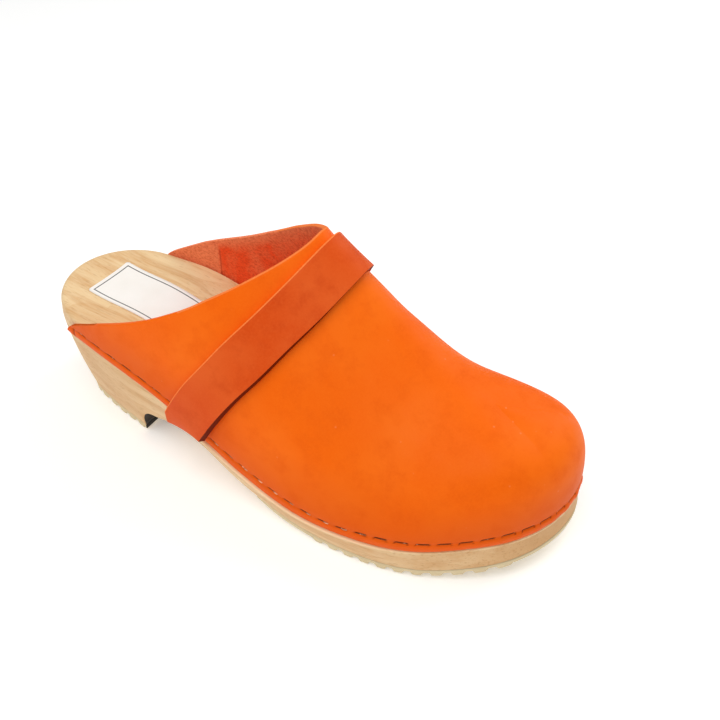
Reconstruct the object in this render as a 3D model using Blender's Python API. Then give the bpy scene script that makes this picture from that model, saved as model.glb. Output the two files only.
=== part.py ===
"""A leather clog for the right foot: a carved wooden sole, a stapled leather upper and an instep strap.

Metres, +X to the toe, +Y to the inner side of the foot, +Z up. The clog stands on its two rubber
outsoles, and the origin lies on the floor under the middle of its box. While it is being shaped,
x runs from 0 at the back of the heel to LENGTH at the toe.
"""

import bmesh
import bpy
import numpy as np
from mathutils import Matrix

MM = 0.001

# Driving dimensions
LENGTH = 258 * MM  # wooden sole, heel to toe
HEEL_CAP = 29.7 * MM  # length of the round of the heel in plan
TOE_CAP = 63 * MM  # length of the round of the toe in plan
TOE_SQUARENESS = 2.3  # 2 gives an ellipse, more gives a blunter toe
LEATHER = 2.2 * MM  # wall of the upper
STRAP_LEATHER = 2.4 * MM
GAP = 0.3 * MM  # clearance between pieces that meet
REBATE = 2.3 * MM  # step in the wood that takes the leather, full from the waist forwards
OUTSOLE = 3.8 * MM  # rubber, ribs included
RIB_PITCH = 7.4 * MM
RIB_DEPTH = 1.8 * MM
RIB_TIP = 3.2 * MM
RIB_RAMP = 1 * MM
SMOOTH_TREAD = 1.2 * MM  # depth of the plain rubber, measured from the ribs' tips
SKIVE = 10 * MM  # length of the thinned rear edge of the forefoot's rubber
TOE_SPRING = 10 * MM  # rise of the sole at the tip of the toe
BREAST = 63.7 * MM  # front of the heel block
BREAST_RUN = 11 * MM  # length of the hollow from the heel's front up to the arch
LABEL = (70 * MM, 27 * MM, 0.4 * MM)  # length, width and thickness of the paper label

# How finely the curved faces are divided
SOLE_SECTIONS = 49
UPPER_SECTIONS = 41
UPPER_LEVELS = 15
CAP_COLUMNS = 11
STRAP_COLUMNS = 5


def table(columns, *rows):
    """Columns by name. The _mm columns are millimetres, and a station is a share of LENGTH."""
    found = {}
    for name, values in zip(columns.split(), np.array(rows, float).T):
        if name.endswith("_mm"):
            found[name[:-3]] = values * MM
        elif name.endswith("station"):
            found[name] = values * LENGTH
        else:
            found[name] = values
    return found


# Plan of the wood under the leather's edge, the height of its upper rim, and how far the leather
# overlaps the side of the wood
SOLE = table(
    "station centre_mm half_width_mm rim_mm overlap_mm",
    (0.00, 0.7, 30.2, 53.0, 6.6),
    (0.10, 0.6, 32.5, 51.3, 6.3),
    (0.20, -1.2, 36.6, 50.7, 5.2),
    (0.35, -1.5, 39.3, 41.4, 6.3),
    (0.50, -1.9, 42.0, 26.8, 8.9),
    (0.62, -1.4, 45.1, 22.5, 10.0),
    (0.72, 0.2, 46.3, 24.0, 10.0),
    (0.82, 1.6, 43.9, 27.9, 10.2),
    (0.90, 5.5, 42.4, 31.2, 10.0),
    (1.00, 13.4, 46.4, 34.3, 10.4),
)

# How far the lower edge of the wood lies inside the plan
TAPER = table(
    "station inset_mm",
    (0.00, 9.2),
    (0.03, 8.0),
    (0.07, 6.6),
    (0.14, 5.9),
    (0.24, 5.7),
    (0.29, 3.0),
    (0.36, 3.0),
    (0.43, 2.8),
    (0.50, 1.2),
    (0.58, 0.7),
    (0.70, 0.6),
    (0.80, 0.9),
    (1.00, -1.0),
)

# Underside of the wood from the end of the heel's hollow to where the toe spring starts
ARCH = table(
    "station underside_mm",
    (0.290, 18.0),
    (0.330, 20.2),
    (0.370, 19.6),
    (0.410, 16.8),
    (0.450, 12.7),
    (0.500, 9.3),
    (0.540, 7.3),
    (0.580, 5.6),
    (0.620, 4.5),
    (0.660, 3.8),
    (0.735, 3.8),
)

# Depth of the hollow that the foot lies in
DISH = table(
    "station depth_mm",
    (0.00, 1.0),
    (0.12, 1.5),
    (0.35, 1.5),
    (0.65, 1.2),
    (1.00, 0.8),
)

# Ridge of the last behind and above each section, and the pull of the section's curve:
# wall is the share of its height that rises straight, crown the half width of its top
LAST = table(
    "station ridge_mm offset_mm wall crown_mm bulge_mm",
    (0.100, 127.0, 2.9, 0.47, 24.0, 2.7),
    (0.300, 144.0, 5.9, 0.55, 22.0, 2.8),
    (0.450, 128.5, 11.6, 0.58, 15.5, 3.0),
    (0.545, 110.2, 11.7, 0.52, 12.0, 3.2),
    (0.610, 96.4, 12.5, 0.48, 13.5, 3.3),
    (0.680, 82.4, 13.0, 0.44, 14.8, 3.2),
    (0.760, 70.0, 11.4, 0.48, 17.3, 3.0),
    (0.855, 63.0, 8.1, 1.00, 27.0, 1.0),
)
TOE_FAN = 0.64 * LENGTH  # sections fan out round the toe from here
TOE_REACH = 37.6 * MM  # distance of the ridge's end behind the toe

# Topline of the upper, from its pointed rear end at the leather's lower edge to the ridge:
# the share of the way up the section, and where it lies along the clog.
# The last row is the one before the ridge mirrored, so that the edge crosses the ridge square.
TOPLINE = table(
    "share station",
    (0.000, 0.0950),
    (0.046, 0.1155),
    (0.107, 0.1780),
    (0.208, 0.2890),
    (0.304, 0.3615),
    (0.442, 0.4295),
    (0.613, 0.4855),
    (0.789, 0.5190),
    (1.000, 0.5300),
    (1.211, 0.5190),
)

# Rear and front edge of the instep strap, from its lower ends to the ridge and, mirrored, past it
STRAP = table(
    "share rear_station front_station",
    (0.00, 0.3500, 0.4225),
    (0.14, 0.3952, 0.4647),
    (0.25, 0.4310, 0.4958),
    (0.35, 0.4590, 0.5230),
    (0.50, 0.4946, 0.5550),
    (0.65, 0.5200, 0.5797),
    (0.80, 0.5360, 0.5948),
    (1.00, 0.5440, 0.6020),
    (1.20, 0.5360, 0.5948),
)
STRAP_TAIL = (6.2 * MM, 0.2 * MM)  # how far its ends hang below the upper, at the rear and front edge
STRAP_LIFT = 1.2 * MM  # its front edge stands off the upper this far at the lower ends

OUTER, INNER = -1, 1  # little-toe side and big-toe side


def curve(rows, column, at):
    """Cubic through a table's column, its slopes taken from the neighbouring rows."""
    keys = next(iter(rows.values()))
    values = rows[column]
    slopes = np.gradient(values, keys)
    at = np.clip(at, keys[0], keys[-1])
    i = np.clip(np.searchsorted(keys, at, side="right") - 1, 0, len(keys) - 2)
    run = keys[i + 1] - keys[i]
    u = (at - keys[i]) / run
    start = (2 * u**3 - 3 * u**2 + 1) * values[i] + (u**3 - 2 * u**2 + u) * run * slopes[i]
    end = (3 * u**2 - 2 * u**3) * values[i + 1] + (u**3 - u**2) * run * slopes[i + 1]
    return start + end


def station(turn):
    """Place along the sole: turn is 0 at the heel's back and pi at the toe's tip."""
    return LENGTH / 2 * (1 - np.cos(turn))


def turn_at(x):
    return np.arccos(np.clip(1 - 2 * x / LENGTH, -1, 1))


def plan(turn, side):
    """Outline of the wood: two half widths off a curved centre line, rounded off at both ends."""
    x = station(turn)
    heel = np.clip(1 - x / HEEL_CAP, 0, 1)
    toe = np.clip(1 - (LENGTH - x) / TOE_CAP, 0, 1)
    ends = np.sqrt(1 - heel**2) * np.sqrt(1 - toe**TOE_SQUARENESS)
    past_the_tip = np.where(np.sin(turn) < 0, -1, 1)
    width = curve(SOLE, "half_width", x) * ends * past_the_tip
    return np.stack([x, curve(SOLE, "centre", x) + side * width], -1)


def outline(turn, side, outset):
    """The plan moved outwards, square to itself."""
    step = 0.001
    along = plan(turn + step, side) - plan(turn - step, side)
    along /= np.linalg.norm(along, axis=-1, keepdims=True)
    outwards = np.stack([-along[..., 1], along[..., 0]], -1) * np.asarray(side)[..., None]
    return plan(turn, side) + outwards * np.asarray(outset)[..., None]


def rebate(x):
    """Step for the leather, growing from nothing at the heel to its full depth at the waist."""
    none, full = 0.12 * LENGTH, 0.45 * LENGTH
    return REBATE * np.clip((x - none) / (full - none), 0, 1)


def underside(x):
    """Height of the wood's lower face: heel block, a round hollow, arch, ball and toe spring."""
    roll = ARCH["station"][-1]
    spring = TOE_SPRING * np.clip((x - roll) / (LENGTH - roll), 0, 1) ** 2
    fore = np.maximum(curve(ARCH, "underside", x), OUTSOLE)
    hollow = np.clip((x - BREAST) / BREAST_RUN, 0, 1)
    return OUTSOLE + (fore - OUTSOLE) * np.sqrt(1 - (1 - hollow) ** 2) + spring


def footbed(x, y):
    """Height of the wood's top: a bowl as deep as DISH that comes up to the rim all round."""
    across = (y - curve(SOLE, "centre", x)) / curve(SOLE, "half_width", x)
    heel = np.clip(1 - x / HEEL_CAP, 0, 1)
    toe = np.clip(1 - (LENGTH - x) / TOE_CAP, 0, 1)
    hollow = np.clip(1 - across**2 - heel**2 - toe**TOE_SQUARENESS, 0, 1)
    return curve(SOLE, "rim", x) - curve(DISH, "depth", x) * hollow


def hem(x):
    """Height of the leather's lower edge."""
    return curve(SOLE, "rim", x) - curve(SOLE, "overlap", x)


def leather(turn, share, side):
    """Outer face of the upper. Each section is a cubic Bezier from the leather's lower edge, where
    it rises straight up, to the ridge of the last, where it lies flat along the ridge."""
    x = station(turn)
    fan = np.clip((x - TOE_FAN) / (LENGTH - TOE_FAN), 0, 1)
    ridge_x = x - TOE_REACH * fan**2
    top = curve(LAST, "ridge", ridge_x)
    step = 1 * MM
    fall = (curve(LAST, "ridge", ridge_x + step) - curve(LAST, "ridge", ridge_x - step)) / (2 * step)
    edge = outline(turn, side, LEATHER + GAP - rebate(x))
    foot = hem(x)
    off_x = edge[..., 0] - ridge_x
    off_y = edge[..., 1] - curve(LAST, "offset", ridge_x)
    reach = np.hypot(off_x, off_y)
    crown = curve(LAST, "crown", ridge_x)
    b0, b1 = (1 - share) ** 3, 3 * (1 - share) ** 2 * share
    b2, b3 = 3 * (1 - share) * share**2, share**3
    out = b0 * reach + b1 * (reach + curve(LAST, "bulge", ridge_x)) + b2 * crown
    wall = foot + curve(LAST, "wall", ridge_x) * (top - foot)
    z = b0 * foot + b1 * wall + b2 * (top + fall * crown * off_x / reach) + b3 * top
    y = curve(LAST, "offset", ridge_x) + out * off_y / reach
    return np.stack([ridge_x + out * off_x / reach, y, z], -1)


def leather_normal(turn, share, side):
    """Unit normal of the upper's outer face, the same from both sides where the sides meet."""
    step, last_turn, last_share = 0.001, np.pi - 0.02, 0.985
    seam = (share > last_share) | (turn > last_turn)
    turn = np.minimum(turn, last_turn)
    share = np.clip(share, step, last_share)

    def one_side(side):
        along = leather(turn + step, share, side) - leather(turn - step, share, side)
        up = leather(turn, share + step, side) - leather(turn, share - step, side)
        normal = np.cross(along, up) * -side
        return normal / np.linalg.norm(normal, axis=-1, keepdims=True)

    normal = one_side(side) + seam[..., None] * one_side(-side)
    return normal / np.linalg.norm(normal, axis=-1, keepdims=True)


def skin(turn, share, side, outset):
    """The upper's outer face moved outwards along its normal."""
    return leather(turn, share, side) + leather_normal(turn, share, side) * np.asarray(outset)[..., None]


def both_sides(half):
    """One sheet from the outer side's lower edge over the ridge to the inner side's."""
    return np.concatenate([half(OUTER), half(INNER)[:, -2::-1]], axis=1)


def shares():
    """Levels of the sections: the leather's edge, the top of the upper's rear end, then on to the ridge."""
    return np.concatenate([[0], np.linspace(TOPLINE["share"][1], 1, UPPER_LEVELS)])


def linear(hex_colour):
    """Linear RGBA from an sRGB hex colour."""
    srgb = np.array([int(hex_colour[i : i + 2], 16) for i in (1, 3, 5)]) / 255
    rgb = np.where(srgb <= 0.04045, srgb / 12.92, ((srgb + 0.055) / 1.055) ** 2.4)
    return (*rgb.tolist(), 1)


def solid(name, sheets, colour, roughness):
    """One closed object from sheets of points, welded where their edges coincide."""
    mesh = bpy.data.meshes.new(name)
    shape = bmesh.new()
    for sheet in sheets:
        rows, columns = sheet.shape[:2]
        corners = [shape.verts.new(point) for point in sheet.reshape(-1, 3)]
        for i in range(rows - 1):
            for j in range(columns - 1):
                k = i * columns + j
                quad = (k, k + 1, k + columns + 1, k + columns)
                shape.faces.new([corners[c] for c in quad])
    bmesh.ops.remove_doubles(shape, verts=shape.verts, dist=0.002 * MM)
    bmesh.ops.recalc_face_normals(shape, faces=shape.faces)
    shape.to_mesh(mesh)
    shape.free()
    mesh.shade_smooth()
    mesh.set_sharp_from_angle(angle=np.radians(40))
    material = bpy.data.materials.new(name)
    material.use_nodes = True
    shader = material.node_tree.nodes["Principled BSDF"]
    shader.inputs["Base Color"].default_value = linear(colour)
    shader.inputs["Roughness"].default_value = roughness
    shader.inputs["Metallic"].default_value = 0
    mesh.materials.append(material)
    part = bpy.data.objects.new(name, mesh)
    bpy.context.scene.collection.objects.link(part)
    return part


def shell(outer, inner):
    """Sheets of a wall: its two faces and the four edges between them."""
    edges = [np.stack([outer[i], inner[i]]) for i in (0, -1)]
    ends = [np.stack([outer[:, j], inner[:, j]]) for j in (0, -1)]
    return [outer, inner, *edges, *ends]


def wooden_sole():
    """Rings of the plan from the rounded rim down past the leather's step to the lower edge,
    closed by the dished footbed above and by the underside below."""
    top_round, bottom_round, ledge_fall, draft = 2.5 * MM, 1.5 * MM, 0.5 * MM, 0.5 * MM
    taper_at_half_height = 0.35
    breast = turn_at(BREAST + BREAST_RUN * np.array([0, 0.06, 0.25, 0.6, 1]))
    turns = np.sort(np.concatenate([np.linspace(0, np.pi, SOLE_SECTIONS), breast]))
    x = station(turns)
    rim = curve(SOLE, "rim", x)
    seat = -rebate(x)
    inset = curve(TAPER, "inset", x)
    low = underside(x)
    step = hem(x) - GAP
    corner = top_round * (1 - np.sqrt(0.5))
    levels = [
        (seat - draft - top_round, rim),
        (seat - draft - corner, rim - corner),
        (seat - draft, rim - top_round),
        (seat, step),
        (0 * x, step - ledge_fall),
        (-taper_at_half_height * inset, (step + low) / 2),
        (-inset, low + bottom_round),
        (-inset - bottom_round, low),
    ]
    rings = []
    for outset, z in levels:
        sides = [np.column_stack([outline(turns, side, outset), z]) for side in (OUTER, INNER)]
        rings.append(sides)
    for edge in rings[0]:
        edge[:, 2] = footbed(edge[:, 0], edge[:, 1])
    wall = np.array([np.concatenate([outer, inner[-2::-1]]) for outer, inner in rings])
    across = np.linspace(0, 1, CAP_COLUMNS)[:, None, None]
    caps = [outer + across * (inner - outer) for outer, inner in (rings[0], rings[-1])]
    caps[0][..., 2] = footbed(caps[0][..., 0], caps[0][..., 1])
    return solid("wooden_sole", [wall, *caps], "#E3C295", 0.55)


def outsole(name, rear, front, ribs_from, rib_count, skive):
    """A rubber layer under the wood, with truncated ribs across it and plain before and after them.
    Its rear edge is thinned to the share skive of its thickness."""
    rib_run = np.array([0, RIB_RAMP, RIB_RAMP + RIB_TIP, 2 * RIB_RAMP + RIB_TIP])
    rib_relief = np.array([RIB_DEPTH, 0, 0, RIB_DEPTH])
    starts = ribs_from + RIB_PITCH * np.arange(rib_count)
    ribs = (starts[:, None] + rib_run).ravel()
    lead_in = station(np.linspace(turn_at(rear), turn_at(ribs[0]), 8))[:-1]
    steps = 2 + int((front - ribs[-1]) / (4 * MM))
    run_out = station(np.linspace(turn_at(ribs[-1]), turn_at(front), steps))[1:]
    x = np.concatenate([lead_in, ribs, run_out])
    relief = np.concatenate([
        np.full(len(lead_in), SMOOTH_TREAD),
        np.tile(rib_relief, len(starts)),
        np.full(len(run_out), SMOOTH_TREAD),
    ])
    top = underside(x) - GAP
    low = top - (OUTSOLE - GAP - relief) * np.interp(x, [rear, rear + SKIVE], [skive, 1])
    inset = curve(TAPER, "inset", x)
    corners = []
    for side, z in ((OUTER, top), (INNER, top), (INNER, low), (OUTER, low), (OUTER, top)):
        corners.append(np.column_stack([outline(turn_at(x), side, -inset), z]))
    tube = np.stack(corners, axis=1)
    caps = [np.stack([tube[i, [0, 1]], tube[i, [3, 2]]]) for i in (0, -1)]
    return solid(name, [tube, *caps], "#D8C3A0", 0.7)


def upper():
    """The vamp in one piece: from the topline forwards to the toe, and open underneath."""
    level = shares()
    ahead = np.linspace(0, 1, UPPER_SECTIONS)[:, None]

    def face(outset):
        def half(side):
            back = turn_at(curve(TOPLINE, "station", level))
            turn = back + (np.pi - back) * ahead
            return skin(turn, level + 0 * turn, side, outset + 0 * turn)

        return both_sides(half)

    outer, inner = face(0), face(-LEATHER)
    collar = np.stack([outer[0], inner[0]])
    ends = [np.stack([outer[:, j], inner[:, j]]) for j in (0, -1)]
    return solid("upper", [outer, inner, collar, *ends], "#F0661C", 0.75)


def instep_strap():
    """A band that follows the upper's own surface from edge to edge, with hanging ends."""
    level = shares()
    across = np.linspace(0, 1, STRAP_COLUMNS)[:, None]
    tail = np.linspace(*STRAP_TAIL, STRAP_COLUMNS)[:, None] * np.array([1, 0.5])

    def face(outset):
        def half(side):
            rear = curve(STRAP, "rear_station", level)
            front = curve(STRAP, "front_station", level)
            turn = turn_at(rear + (front - rear) * across)
            lift = STRAP_LIFT * across**2 * np.clip(1 - 2 * level, 0, 1)
            band = skin(turn, level + 0 * turn, side, outset + lift)
            hanging = band[:, :1] - tail[..., None] * np.array([0, 0, 1])
            return np.concatenate([hanging, band], axis=1)

        return both_sides(half)

    return solid("instep_strap", shell(face(GAP + STRAP_LEATHER), face(GAP)), "#DE5A22", 0.7)


def heel_label():
    """A paper label that lies on the dished heel seat."""
    middle, turned = (52.7 * MM, 1 * MM), np.radians(-1.8)
    length, width, paper = LABEL
    u, v = np.meshgrid(np.linspace(-0.5, 0.5, 13) * length, np.linspace(-0.5, 0.5, 7) * width)
    x = middle[0] + u * np.cos(turned) - v * np.sin(turned)
    y = middle[1] + u * np.sin(turned) + v * np.cos(turned)
    under = np.stack([x, y, footbed(x, y) + GAP], -1)
    return solid("heel_label", shell(under + [0, 0, paper], under), "#F4F1EA", 0.6)


def stand_on_origin(parts):
    """Moves every part so that the origin is on the floor, under the middle of the whole box."""
    points = np.concatenate([[vertex.co for vertex in part.data.vertices] for part in parts])
    low, high = points.min(axis=0), points.max(axis=0)
    middle = (low + high) / 2
    for part in parts:
        part.data.transform(Matrix.Translation((-middle[0], -middle[1], -low[2])))


def main():
    for thing in list(bpy.data.objects):
        bpy.data.objects.remove(thing)
    heel_ribs, arch_edge, ball_ribs = 5 * MM, 137 * MM, 167.2 * MM
    parts = [
        wooden_sole(),
        outsole("outsole_heel", 0, BREAST, heel_ribs, 8, 1),
        outsole("outsole_forefoot", arch_edge, LENGTH, ball_ribs, 11, 0.5),
        upper(),
        instep_strap(),
        heel_label(),
    ]
    stand_on_origin(parts)


main()
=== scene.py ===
# %% [markdown]
# # A leather clog for the right foot
# A clog like this is made of few pieces: a block of pale wood carved to the sole of a foot, two
# ribbed rubber outsoles, a vamp cut from one hide and stapled round the edge of the wood, a strap
# over the instep, and a paper label on the heel seat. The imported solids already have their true
# size. This notebook loads them as a fixed frame, then gives each piece a fine surface and the
# finish of its real material.

import bmesh
import bpy
import numpy as np
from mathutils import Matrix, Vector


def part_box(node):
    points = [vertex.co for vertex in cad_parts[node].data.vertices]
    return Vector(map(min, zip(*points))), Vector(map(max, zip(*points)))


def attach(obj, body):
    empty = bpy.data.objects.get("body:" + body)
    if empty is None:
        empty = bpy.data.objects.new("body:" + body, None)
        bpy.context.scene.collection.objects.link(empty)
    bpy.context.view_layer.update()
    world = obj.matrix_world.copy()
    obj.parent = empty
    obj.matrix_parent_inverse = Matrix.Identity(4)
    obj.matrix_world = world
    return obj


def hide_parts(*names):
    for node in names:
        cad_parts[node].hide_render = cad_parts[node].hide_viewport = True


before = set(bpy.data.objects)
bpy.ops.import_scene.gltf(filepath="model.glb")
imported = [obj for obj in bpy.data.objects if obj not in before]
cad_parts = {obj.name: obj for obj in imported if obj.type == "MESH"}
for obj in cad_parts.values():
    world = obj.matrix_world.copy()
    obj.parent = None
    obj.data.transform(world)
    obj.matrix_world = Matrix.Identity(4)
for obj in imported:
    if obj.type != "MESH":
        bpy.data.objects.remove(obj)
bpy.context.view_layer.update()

MM = 0.001
print("solids:", sorted(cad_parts))

# %% [markdown]
# ## Camera
# The picture was taken from above the little toe, close to the clog, with a slight wide angle.
# The camera could be aimed by hand, but matching the outline of sole, strap and collar gives its
# place to a millimetre, so the place and the turn are written here as found.

# %% Camera
CAMERA_AT = np.array([171.7, -233.3, 306.4]) * MM
CAMERA_TURN = np.radians([48.41, -0.49, 31.19])
FOCAL_LENGTH, SENSOR_WIDTH = 43.98, 36  # both in the mm that cameras use

camera = bpy.data.objects.new("camera", bpy.data.cameras.new("camera"))
camera.data.lens = FOCAL_LENGTH
camera.data.sensor_width = SENSOR_WIDTH
camera.location = CAMERA_AT
camera.rotation_euler = CAMERA_TURN
bpy.context.scene.collection.objects.link(camera)
bpy.context.scene.camera = camera
print("camera is", round(float(np.linalg.norm(CAMERA_AT)) / MM), "mm from the origin")

# %% [markdown]
# ## The last
# A shoemaker pulls the leather over a last, a wooden model of the foot. Here the last is a few
# short tables: the plan of the sole, the taper of its sides, the arch below it and the ridge that
# the leather is pulled over. The fine surfaces could be fitted to the solids point by point, but
# repeating the tables that shaped the solids makes both agree everywhere.

# %% Tables of the last
LENGTH = 258 * MM  # wooden sole, heel to toe
HEEL_CAP, TOE_CAP = 29.7 * MM, 63 * MM  # length of the rounds of the plan
TOE_SQUARENESS = 2.3
LEATHER, STRAP_LEATHER = 2.2 * MM, 2.4 * MM
GAP, REBATE = 0.3 * MM, 2.3 * MM
OUTSOLE, TOE_SPRING = 3.8 * MM, 10 * MM
BREAST, BREAST_RUN = 63.7 * MM, 11 * MM  # front of the heel block, and the hollow ahead of it
TOE_FAN, TOE_REACH = 0.64 * LENGTH, 37.6 * MM
OUTER, INNER = -1, 1  # little-toe side and big-toe side


def table(columns, *rows):
    """Columns by name. The _mm columns are millimetres, and a station is a share of LENGTH."""
    found = {}
    for name, values in zip(columns.split(), np.array(rows, float).T):
        if name.endswith("_mm"):
            found[name[:-3]] = values * MM
        else:
            found[name] = values * LENGTH if name.endswith("station") else values
    return found


SOLE = table(
    "station centre_mm half_width_mm rim_mm overlap_mm",
    (0.00, 0.7, 30.2, 53.0, 6.6),
    (0.10, 0.6, 32.5, 51.3, 6.3),
    (0.20, -1.2, 36.6, 50.7, 5.2),
    (0.35, -1.5, 39.3, 41.4, 6.3),
    (0.50, -1.9, 42.0, 26.8, 8.9),
    (0.62, -1.4, 45.1, 22.5, 10.0),
    (0.72, 0.2, 46.3, 24.0, 10.0),
    (0.82, 1.6, 43.9, 27.9, 10.2),
    (0.90, 5.5, 42.4, 31.2, 10.0),
    (1.00, 13.4, 46.4, 34.3, 10.4),
)
TAPER = table(
    "station inset_mm",
    (0.00, 9.2),
    (0.03, 8.0),
    (0.07, 6.6),
    (0.14, 5.9),
    (0.24, 5.7),
    (0.29, 3.0),
    (0.36, 3.0),
    (0.43, 2.8),
    (0.50, 1.2),
    (0.58, 0.7),
    (0.70, 0.6),
    (0.80, 0.9),
    (1.00, -1.0),
)
ARCH = table(
    "station underside_mm",
    (0.290, 18.0),
    (0.330, 20.2),
    (0.370, 19.6),
    (0.410, 16.8),
    (0.450, 12.7),
    (0.500, 9.3),
    (0.540, 7.3),
    (0.580, 5.6),
    (0.620, 4.5),
    (0.660, 3.8),
    (0.735, 3.8),
)
DISH = table(
    "station depth_mm",
    (0.00, 1.0),
    (0.12, 1.5),
    (0.35, 1.5),
    (0.65, 1.2),
    (1.00, 0.8),
)
LAST = table(
    "station ridge_mm offset_mm wall crown_mm bulge_mm",
    (0.100, 127.0, 2.9, 0.47, 24.0, 2.7),
    (0.300, 144.0, 5.9, 0.55, 22.0, 2.8),
    (0.450, 128.5, 11.6, 0.58, 15.5, 3.0),
    (0.545, 110.2, 11.7, 0.52, 12.0, 3.2),
    (0.610, 96.4, 12.5, 0.48, 13.5, 3.3),
    (0.680, 82.4, 13.0, 0.44, 14.8, 3.2),
    (0.760, 70.0, 11.4, 0.48, 17.3, 3.0),
    (0.855, 63.0, 8.1, 1.00, 27.0, 1.0),
)
TOPLINE = table(
    "share station",
    (0.000, 0.0950),
    (0.046, 0.1155),
    (0.107, 0.1780),
    (0.208, 0.2890),
    (0.304, 0.3615),
    (0.442, 0.4295),
    (0.613, 0.4855),
    (0.789, 0.5190),
    (1.000, 0.5300),
    (1.211, 0.5190),
)
STRAP = table(
    "share rear_station front_station",
    (0.00, 0.3500, 0.4225),
    (0.14, 0.3952, 0.4647),
    (0.25, 0.4310, 0.4958),
    (0.35, 0.4590, 0.5230),
    (0.50, 0.4946, 0.5550),
    (0.65, 0.5200, 0.5797),
    (0.80, 0.5360, 0.5948),
    (1.00, 0.5440, 0.6020),
    (1.20, 0.5360, 0.5948),
)
print("tables with", [len(next(iter(rows.values()))) for rows in (SOLE, TAPER, ARCH, LAST)], "rows")

# %% [markdown]
# The curve through a column is a cubic with slopes taken from the neighbouring rows, which is
# smooth and never needs more points than the rows. A place along the sole is written as a turn
# from 0 at the back of the heel to pi at the tip of the toe, because equal turns crowd the
# sections together at the two round ends, where the plan bends most.

# %% Curves, plan and heights of the wood
HEEL_BACK = np.array([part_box("wooden_sole")[0].x, 0, 0])


def curve(rows, column, at):
    """Cubic Hermite curve through a table's column: two rows' values, and slopes from gradients."""
    keys = next(iter(rows.values()))
    values = rows[column]
    slopes = np.gradient(values, keys)
    at = np.clip(at, keys[0], keys[-1])
    i = np.clip(np.searchsorted(keys, at, side="right") - 1, 0, len(keys) - 2)
    run = keys[i + 1] - keys[i]
    u = (at - keys[i]) / run
    start = (2 * u**3 - 3 * u**2 + 1) * values[i] + (u**3 - 2 * u**2 + u) * run * slopes[i]
    end = (3 * u**2 - 2 * u**3) * values[i + 1] + (u**3 - u**2) * run * slopes[i + 1]
    return start + end


def ease(value, start, end):
    """Smooth step: 0 before start, 1 after end, with no corner at either."""
    u = np.clip((value - start) / (end - start), 0, 1)
    return u * u * (3 - 2 * u)


def bell(distance, width):
    """Gaussian: 1 at no distance, about a third of that at the width, and soon nothing."""
    return np.exp(-((distance / width) ** 2))


def station(turn):
    return LENGTH / 2 * (1 - np.cos(turn))


def turn_at(x):
    return np.arccos(np.clip(1 - 2 * x / LENGTH, -1, 1))


def into_caps(x):
    """How far x lies into the round of the heel and into that of the toe, each from 0 to 1."""
    return np.clip(1 - x / HEEL_CAP, 0, 1), np.clip(1 - (LENGTH - x) / TOE_CAP, 0, 1)


def plan(turn, side):
    """Outline of the wood: half widths off a curved centre line, times two superellipse ends."""
    x = station(turn)
    heel, toe = into_caps(x)
    ends = np.sqrt(1 - heel**2) * np.sqrt(1 - toe**TOE_SQUARENESS)
    past_the_tip = np.where(np.sin(turn) < 0, -1, 1)
    width = curve(SOLE, "half_width", x) * ends * past_the_tip
    return np.stack([x, curve(SOLE, "centre", x) + side * width], -1)


def plan_normal(turn, side):
    """Unit vector out of the plan: its tangent, from a small step each way, turned by a right angle."""
    step = 0.001
    along = plan(turn + step, side) - plan(turn - step, side)
    along /= np.linalg.norm(along, axis=-1, keepdims=True)
    return np.stack([-along[..., 1], along[..., 0]], -1) * side


def outline(turn, side, outset):
    """The plan moved outwards along its normal."""
    return plan(turn, side) + plan_normal(turn, side) * np.asarray(outset)[..., None]


def rebate(x):
    """Step in the wood for the leather: none at the heel, growing evenly to its full depth."""
    none, full = 0.12 * LENGTH, 0.45 * LENGTH
    return REBATE * np.clip((x - none) / (full - none), 0, 1)


def underside(x):
    """Lower face of the wood: heel block, a quarter ellipse up to the arch, the arch's curve, then a
    parabola of spring."""
    roll = ARCH["station"][-1]
    spring = TOE_SPRING * np.clip((x - roll) / (LENGTH - roll), 0, 1) ** 2
    fore = np.maximum(curve(ARCH, "underside", x), OUTSOLE)
    hollow = np.clip((x - BREAST) / BREAST_RUN, 0, 1)
    return OUTSOLE + (fore - OUTSOLE) * np.sqrt(1 - (1 - hollow) ** 2) + spring


def footbed(x, y):
    """Top of the wood: the rim less a bowl that is deepest on the centre line."""
    across = (y - curve(SOLE, "centre", x)) / curve(SOLE, "half_width", x)
    heel, toe = into_caps(x)
    hollow = np.clip(1 - across**2 - heel**2 - toe**TOE_SQUARENESS, 0, 1)
    return curve(SOLE, "rim", x) - curve(DISH, "depth", x) * hollow


def hem(x):
    """Height of the leather's lower edge: the rim less the overlap."""
    return curve(SOLE, "rim", x) - curve(SOLE, "overlap", x)


half_ball = float(plan(turn_at(0.7 * LENGTH), INNER)[1] / MM)
print("the ball reaches", round(half_ball, 1), "mm to the inner side")

# %% [markdown]
# The skin of the last is one formula. Each section is a cubic Bezier curve that leaves the edge of
# the wood going straight up, swells a little, and arrives flat at the ridge. Past the ball of the
# foot the sections fan out round the toe from the end of the ridge. Moving a point along the
# surface's normal gives the inner wall, the strap and every crease.

# %% Skin of the last


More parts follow.
